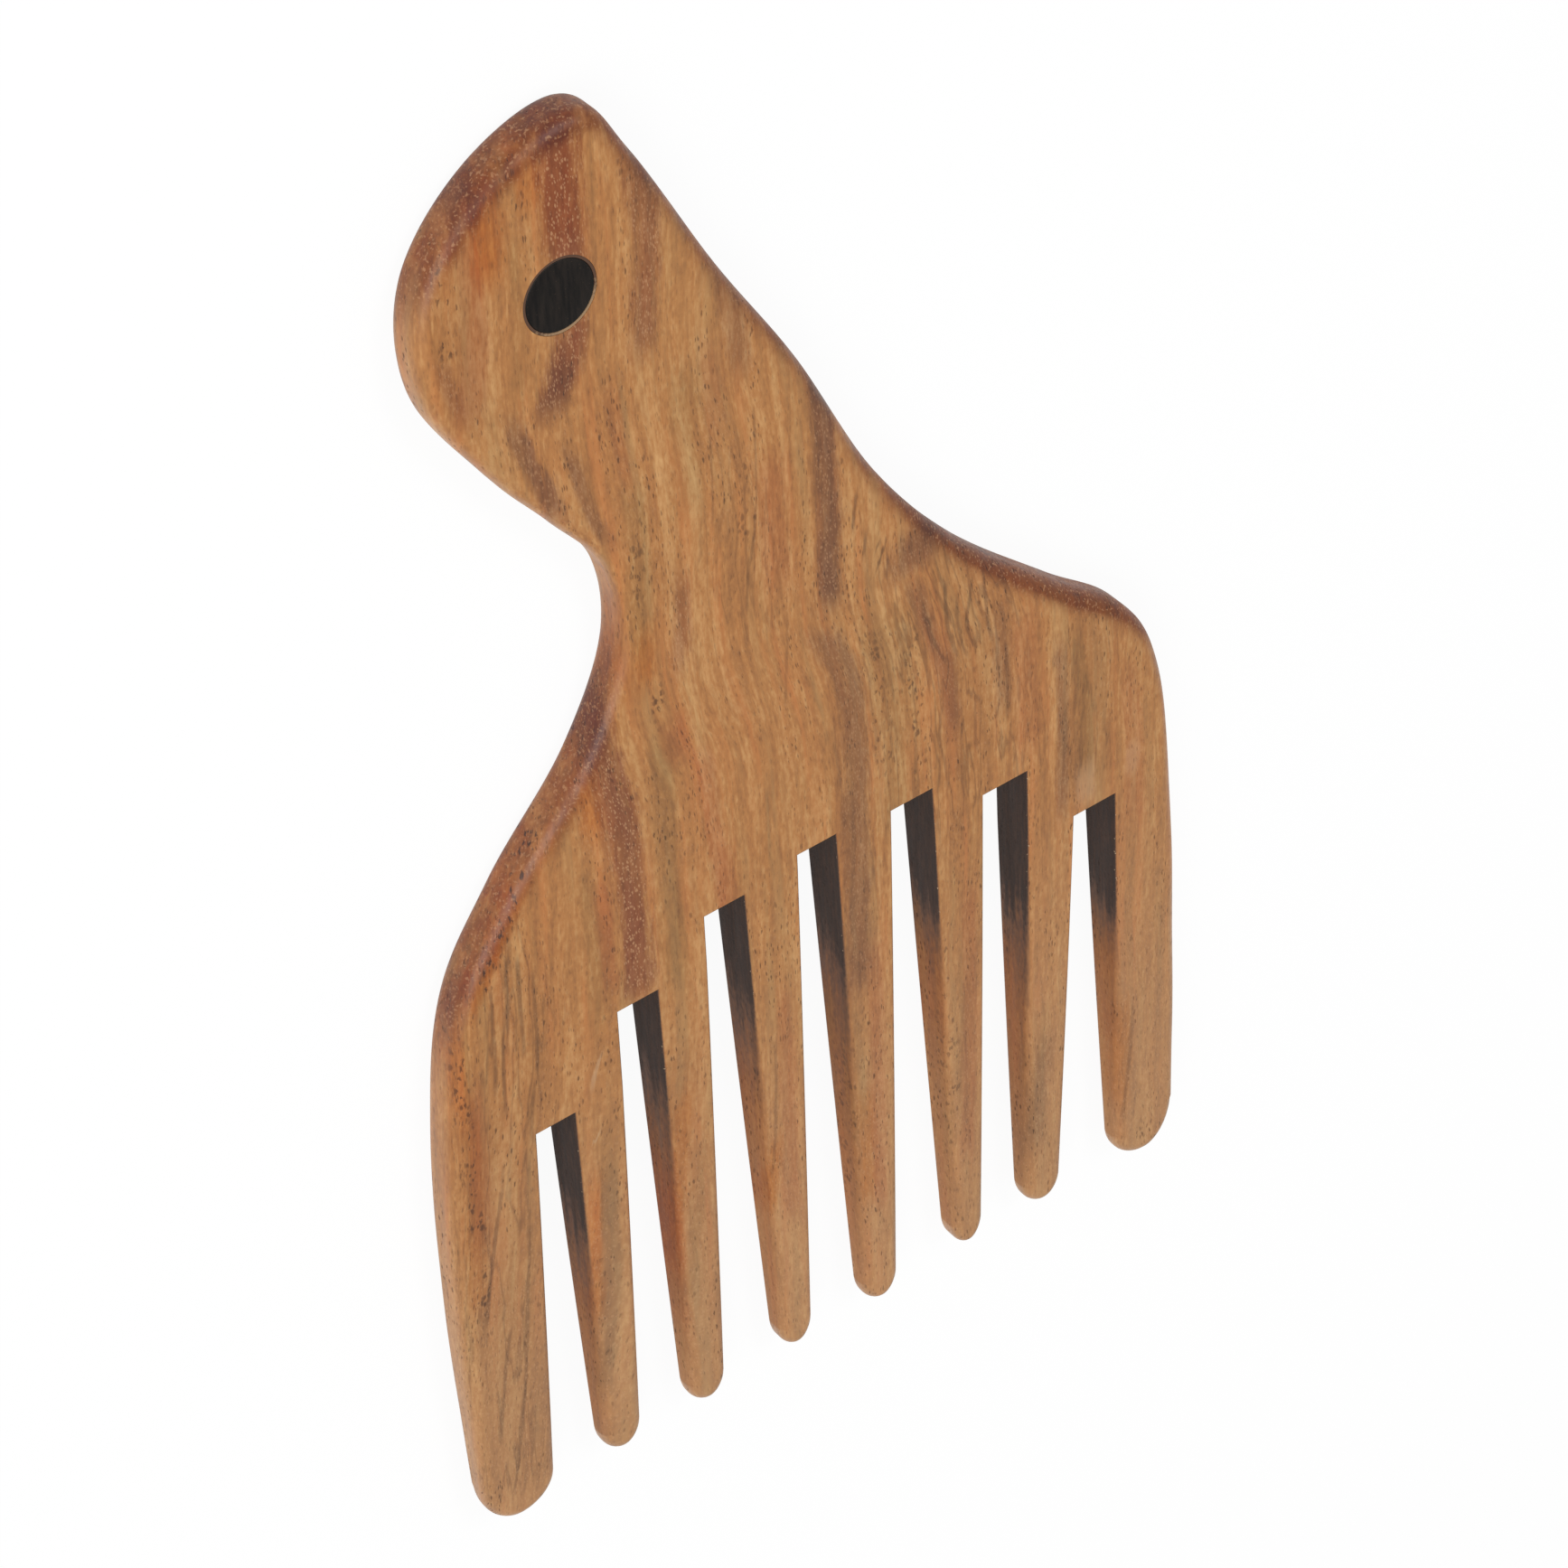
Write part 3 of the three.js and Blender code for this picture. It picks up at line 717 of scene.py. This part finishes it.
def combWood(origin):
    look = woodLook
    span = look["span"]
    share = look["share"]
    material, start = newMaterial("combWood")
    spot = start.node("TexCoord", out="Object")
    parts = start.node("SeparateXYZ", None, {"Vector": spot}).socket.node.outputs
    x, y, z = (Wire(start.tree, part) / metresPerMm - shift for part, shift in zip(parts, origin))

    def cloth(name, across):  # noise about 0
        perX, perY, perZ, detail, seed = look["weave"][name]
        place = {"X": across * perX, "Y": y * perY + seed, "Z": z * perZ}
        spread = start.node("CombineXYZ", None, place)
        return start.node("TexNoise", None, {"Vector": spread, "Scale": 1.0, "Detail": detail}) - 0.5

    def dashes(name, across):  # short strokes along the grain
        perX, perY, width, chosen, seed = look["strokes"][name]
        place = {"X": across * perX, "Y": y * perY + seed, "Z": z * perX * look["strokeDepth"]}
        spread = start.node("CombineXYZ", None, place)
        cells = start.node("TexVoronoi", None, {"Vector": spread, "Scale": 1.0})
        dice = Wire(start.tree, cells.socket.node.outputs["Color"])
        rolls = start.node("SeparateColor", None, {"Color": dice}).socket.node.outputs
        chance, size = (Wire(start.tree, roll) for roll in rolls[:2])
        differ, least = look["strokeSize"]
        stroke = (cells / (size * differ + least)).step(width, width * look["strokeCore"])
        return stroke * chance.step(chosen, chosen - look["strokeSoft"])

    leaning = x + (z - shape["thickness"] / 2) * look["lean"]
    leftShare = x.step(*span["leftSway"])
    sway = wanderingLine(y, look["sway"])[0] * (1 - leftShare)
    sway = sway + wanderingLine(y, look["leftSway"])[0] * leftShare
    grain = leaning - sway + cloth("drift", x) * share["drift"] + cloth("ripple", x) * share["ripple"]

    broad = cloth("broad", grain)
    narrow = cloth("narrow", grain)
    fibre = cloth("fibre", grain)
    speck = cloth("speck", grain)
    light = look["bright"]
    bright = broad * light["broad"] + narrow * light["narrow"] + fibre * light["fibre"]
    bright = bright + speck * light["speck"] + light["base"]
    colour = start.node("ValToRGB", {"stops": look["shades"]}, {"Fac": bright})
    hue = cloth("hue", grain)
    colour = colour.tint(look["orange"], hue.step(*span["orange"]) * share["hue"])
    colour = colour.tint(look["olive"], hue.step(*span["olive"]) * share["hue"])
    colour = colour.tint(look["worn"], y.step(*span["worn"]) * share["worn"])

    jag = cloth("fray", grain) * share["fray"] + cloth("hair", grain) * share["hair"]
    patchy = cloth("patch", grain).step(*span["patch"]).lift(share["patchLeast"])
    ragged = y + jag * share["ragged"]  # so the streaks end unevenly
    masks = {}
    for kind, half, strength, places in streaks:
        mask = streakMask(leaning, ragged, jag, kind, half, strength, places)
        masks[kind] = masks[kind].most(mask) if kind in masks else mask
    colour = colour.tint(look["chalk"], masks["chalk"])
    for kind in ("grey", "shade", "rust", "amber", "dusk", "heart", "line"):
        colour = colour.tint(look[kind], masks[kind] * patchy, "MULTIPLY")
    rings = cloth("ring", grain)
    veins = start.math("PINGPONG", rings * look["veinRepeat"], 0.5).step(*span["vein"]) * patchy
    curled = masks["curl"] * share["veinCurl"] + share["vein"]
    colour = colour.tint(look["line"], veins * curled, "MULTIPLY")

    crowd = cloth("crowd", grain).step(*span["crowd"])
    frayed = grain + speck * share["frayed"]
    grit = y.step(*span["grit"])  # the teeth are rougher
    pores = dashes("pores", frayed) * crowd.lift(share["poreLeast"]).most(grit * share["poreGrit"])
    pits = dashes("pits", frayed + speck * share["frayedPits"]) * masks["pits"]
    dark = masks["heart"].most(masks["dusk"] * share["fleckDusk"])
    flecks = dashes("flecks", frayed + y * share["fleckSlant"])
    flecks = flecks * dark.most(crowd * share["fleckCrowd"]).most(grit * share["fleckGrit"])
    colour = colour.tint(look["fleck"], flecks * share["fleck"])
    colour = colour.tint(look["pore"], pores, "MULTIPLY").tint(look["pits"], pits, "MULTIPLY")

    endGrain = start.node("Attribute", {"attribute_name": "endGrain"}, out="Fac")
    fine = {"Vector": spot, "Scale": look["crumbScale"], "Detail": 1.0}
    crumbs = start.node("TexNoise", None, fine) - 0.5
    ringed = rings.step(*span["ring"]) * share["ring"] + share["ringLeast"]
    ringed = ringed * y.step(*span["headDark"]).lift(share["headLeast"])
    # end grain darkening, strongest on the right shoulder, where it is also painted shade
    endGrainAndShade = endGrain.step(*span["endGrain"]) * ringed.most(x.step(*span["rightDark"]))
    colour = colour.tint(look["endGrain"], endGrainAndShade, "MULTIPLY")
    colour = colour.tint(look["fleck"], endGrainAndShade * crumbs.step(*span["endFleck"]) * share["endFleck"])

    slotShare = start.node("Attribute", {"attribute_name": "slotShare"}, out="Fac")
    charred = start.node("Attribute", {"attribute_name": "charred"}, out="Fac")
    smoke = cloth("smoke", x)
    ember = charred + smoke * share["emberSmoke"] + speck * share["emberSpeck"] - z * share["emberFront"]
    wall = (slotShare + crumbs * share["wallCrumbs"]).step(*span["wall"])
    sawn = slotShare * charred.step(*span["sawn"]).lift(share["sawnLeast"])
    colour = colour.tint(look["sawn"], sawn, "MULTIPLY")
    scorched = slotShare.step(*span["scorchEdge"]) * ember.step(*span["scorchEnd"])
    colour = colour.tint(look["scorch"], scorched * share["scorch"])
    soot = wall * ember.step(*span["sootEnd"])
    black = fibre * share["charFibre"] + speck * share["charSpeck"] + share["char"]
    colour = colour.tint(look["char"], soot * black)
    chips = crumbs.step(*span["chip"]) * slotShare.step(*span["chipFront"])
    chips = chips * slotShare.step(*span["chipWall"]) * ember.step(*span["chipEnd"])
    colour = colour.tint(look["chalk"], chips * share["chip"])

    relief = look["relief"]
    height = fibre * relief["fibre"] + speck * relief["speck"] - pores - pits * relief["pits"]
    height = height + crumbs * (soot * relief["soot"] + relief["crumbs"])
    bumps = {"Height": height, "Strength": look["bumpStrength"], "Distance": look["bumpDepth"]}
    bump = start.node("Bump", None, bumps)
    rough = look["rough"]
    roughness = narrow * rough["narrow"] + rough["base"] + pores * rough["pores"]
    roughness = roughness + slotShare * rough["walls"] + soot * rough["soot"] + endGrainAndShade * rough["endGrain"]
    surface = {"Base Color": colour, "Roughness": roughness, "Normal": bump}
    surface["Specular IOR Level"] = look["specular"]
    shader = start.node("BsdfPrincipled", None, surface)
    start.node("OutputMaterial", None, {"Surface": shader})
    return material


# Inlay: a dark round plug, flush with both faces
plugShape = {
    "softEdge": 0.15,
    "dish": 0.02,
    "dishPlaces": [(0.5, 0.7), (0.05, 1)],  # shares of the radius and of the dish's depth
    "steps": 96,
    "edgeSteps": 5,
}
plugLook = {
    "shades": [(0.35, tone(12, 9, 7)), (0.75, tone(36, 29, 24))],
    "grainScale": (2500, 400, 2500),  # per metre
    "speck": tone(152, 122, 90),
    "speckScale": 5000.0,
    "speckSpan": (0.68, 0.8),
    "speckShare": 0.12,
    "roughness": 0.38,
    "fibreRoughness": 0.2,
    "bumpStrength": 0.15,
    "bumpDepth": 0.0001,  # metres
    "specular": 0.2,
}


def turnedPiece(name, profile, closed, centre, material):  # profile of (radius, height)
    steps = plugShape["steps"]
    vertices = []
    for radius, height in profile:
        for i in range(steps):
            angle = 2 * math.pi * i / steps
            place = Vector((radius * math.cos(angle), radius * math.sin(angle), height))
            vertices.append((centre + place) * metresPerMm)
    rows = [i * steps for i in range(len(profile))]
    pairs = zip(rows, rows[1:] + rows[:1]) if closed else zip(rows, rows[1:])
    faces = [face[::-1] for lower, upper in pairs for face in band(lower, upper, steps)]
    if not closed:
        faces += [list(range(steps))[::-1], list(range(rows[-1], rows[-1] + steps))]
    return makePiece(name, vertices, faces, material)


def inlayPlug(centre, material):
    radius, half = shape["plugDiameter"] / 2, shape["thickness"] / 2
    soft = plugShape["softEdge"]
    upper = []
    for i in range(plugShape["edgeSteps"] + 1):
        angle = math.pi / 2 * i / plugShape["edgeSteps"]
        upper.append((radius - soft + soft * math.cos(angle), half - soft + soft * math.sin(angle)))
    for out, deep in plugShape["dishPlaces"]:
        upper.append((radius * out, half - plugShape["dish"] * deep))
    profile = [(r, -h) for r, h in reversed(upper)] + upper
    return turnedPiece("inlayPlug", profile, False, centre, material)


def plugWood():
    look = plugLook
    material, start = newMaterial("plugWood")
    spot = start.node("TexCoord", out="Object")
    along = start.node("Mapping", None, {"Vector": spot, "Scale": look["grainScale"]})
    fibre = start.node("TexNoise", None, {"Vector": along, "Scale": 1.0, "Detail": 3.0})
    specks = start.node("TexNoise", None, {"Vector": spot, "Scale": look["speckScale"], "Detail": 1.0})
    specks = specks.step(*look["speckSpan"])
    colour = start.node("ValToRGB", {"stops": look["shades"]}, {"Fac": fibre})
    colour = colour.tint(look["speck"], specks * look["speckShare"])
    bumps = {"Height": fibre, "Strength": look["bumpStrength"], "Distance": look["bumpDepth"]}
    bump = start.node("Bump", None, bumps)
    roughness = fibre * look["fibreRoughness"] + look["roughness"]
    surface = {"Base Color": colour, "Roughness": roughness, "Normal": bump}
    surface["Specular IOR Level"] = look["specular"]
    start.node("OutputMaterial", None, {"Surface": start.node("BsdfPrincipled", None, surface)})
    return material


# Glue: a thin pale line around the inlay, with painted shadow in the gap on its upper left
glueShape = {"depth": 0.05, "gap": 0.02}
glueLook = {
    # the dark end is painted shadow in the gap, the pale end is the glue
    "shades": [(0, tone(84, 56, 38)), (1, tone(152, 122, 90))],
    "shadowSlope": (120, 260),  # per metre to the right and down, so it is palest at the lower right and painted shadow darkens the rest
    "crumbScale": 3000.0,  # per metre
    "crumbShare": 1.2,
    "brightSpan": (0.3, 0.9),
    "roughness": 0.5,
    "crumbRoughness": 0.3,
}


def glueRing(centre, material):
    inner = shape["plugDiameter"] / 2 + glueShape["gap"]
    outer = inner + shape["glueLine"] - 2 * glueShape["gap"]
    half = shape["thickness"] / 2 - glueShape["depth"]
    profile = [(inner, -half), (outer, -half), (outer, half), (inner, half)]
    return turnedPiece("glueRing", profile, True, centre, material)


def glueAndPaintedShadow(centre):
    look = glueLook
    material, start = newMaterial("glueAndPaintedShadow")
    spot = start.node("TexCoord", out="Object")
    parts = start.node("SeparateXYZ", None, {"Vector": spot})
    x, y = (Wire(start.tree, parts.socket.node.outputs[i]) for i in (0, 1))
    right, down = look["shadowSlope"]
    side = (x - centre.x * metresPerMm) * right - (y - centre.y * metresPerMm) * down
    crumbs = start.node("TexNoise", None, {"Vector": spot, "Scale": look["crumbScale"], "Detail": 2.0})
    # painted shadow over the upper left of the line, fading to the pale glue at the lower right
    bright = (side + (crumbs - 0.5) * look["crumbShare"]).step(*look["brightSpan"])
    colour = start.node("ValToRGB", {"stops": look["shades"]}, {"Fac": bright})
    roughness = crumbs * look["crumbRoughness"] + look["roughness"]
    surface = {"Base Color": colour, "Roughness": roughness}
    start.node("OutputMaterial", None, {"Surface": start.node("BsdfPrincipled", None, surface)})
    return material


plugLow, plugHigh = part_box("inlay_plug")
plugCentre = (plugLow + plugHigh) / 2 / metresPerMm
drawingOrigin = plugCentre - Vector(shape["plugPlace"] + (0,))

body = combBody(drawingOrigin, combWood(drawingOrigin))
plug = inlayPlug(plugCentre, plugWood())
glue = glueRing(plugCentre, glueAndPaintedShadow(plugCentre))
for piece, slotName in ((body, "comb_wood"), (plug, "inlay_wood"), (glue, "comb_wood")):
    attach(piece, "root")
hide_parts("comb_body")
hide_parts("inlay_plug")
print("pieces:", [(piece.name, len(piece.data.polygons)) for piece in (body, plug, glue)])


# Studio: pale floor, soft light from beside the camera, camera at the photograph's view
studio = {
    "floorSize": 4.0,
    "floorDrop": 0.0002,
    "floor": tone(250, 250, 250),
    "glow": 0.93,  # share of the floor's own white for the camera, the rest takes the shadow
    "world": 0.5,
    "lamps": [  # name, place, size, watts
        ("leftLamp", (-1.05, 0.25, 0.85), 0.9, 10.5),
        ("topLamp", (0.3, 0.8, 1.0), 0.45, 5.0),
    ],
    "cameraPlace": (-0.217123, 0.32253, 0.30691),
    "cameraRight": (0.7933, -0.0441, 0.6072),
    "cameraUp": (0.4276, 0.7502, -0.5043),
    "cameraBack": (-0.4333, 0.6597, 0.614),
    "lens": 121.63,
    "sensor": 36.0,
    "nearest": 0.01,
}


def paleFloor():
    half = studio["floorSize"] / 2
    corners = [(-half, -half), (half, -half), (half, half), (-half, half)]
    material, start = newMaterial("paleFloor")
    rays = start.node("LightPath").socket.node.outputs
    kinds = ("Is Camera Ray", "Is Glossy Ray", "Is Transmission Ray")
    camera, glossy, through = (Wire(start.tree, rays[kind]) for kind in kinds)
    shown = camera.most(glossy).most(through)
    matte = start.node("BsdfDiffuse", None, {"Color": studio["floor"]})
    glow = start.node("Emission", None, {"Color": (1, 1, 1, 1), "Strength": 1.0})
    both = start.node("MixShader", None, {0: shown * studio["glow"], 1: matte, 2: glow})
    start.node("OutputMaterial", None, {"Surface": both})
    mesh = bpy.data.meshes.new("paleFloor")
    mesh.from_pydata([(x, y, -studio["floorDrop"]) for x, y in corners], [], [(0, 1, 2, 3)])
    mesh.materials.append(material)
    floor = bpy.data.objects.new("paleFloor", mesh)
    bpy.context.scene.collection.objects.link(floor)


def softLamps():
    for name, place, size, watts in studio["lamps"]:
        lamp = bpy.data.lights.new(name, "AREA")
        lamp.size = size
        lamp.energy = watts
        holder = bpy.data.objects.new(name, lamp)
        holder.location = place
        holder.rotation_euler = (-Vector(place)).to_track_quat("-Z", "Y").to_euler()
        bpy.context.scene.collection.objects.link(holder)
    world = bpy.data.worlds.new("softWorld")
    world.use_nodes = True
    world.node_tree.nodes["Background"].inputs["Color"].default_value = (1, 1, 1, 1)
    world.node_tree.nodes["Background"].inputs["Strength"].default_value = studio["world"]
    bpy.context.scene.world = world


def photoCamera():
    lens = bpy.data.cameras.new("photoCamera")
    lens.lens = studio["lens"]
    lens.sensor_width = studio["sensor"]
    lens.clip_start = studio["nearest"]
    camera = bpy.data.objects.new("photoCamera", lens)
    axes = [Vector(studio[name]).normalized() for name in ("cameraRight", "cameraUp", "cameraBack")]
    turn = Matrix(axes).transposed().to_4x4()
    camera.matrix_world = Matrix.Translation(studio["cameraPlace"]) @ turn
    bpy.context.scene.collection.objects.link(camera)
    bpy.context.scene.camera = camera


paleFloor()
softLamps()
photoCamera()
bpy.context.scene.view_settings.view_transform = "Standard"
print("studio: floor, lamps and camera in place")
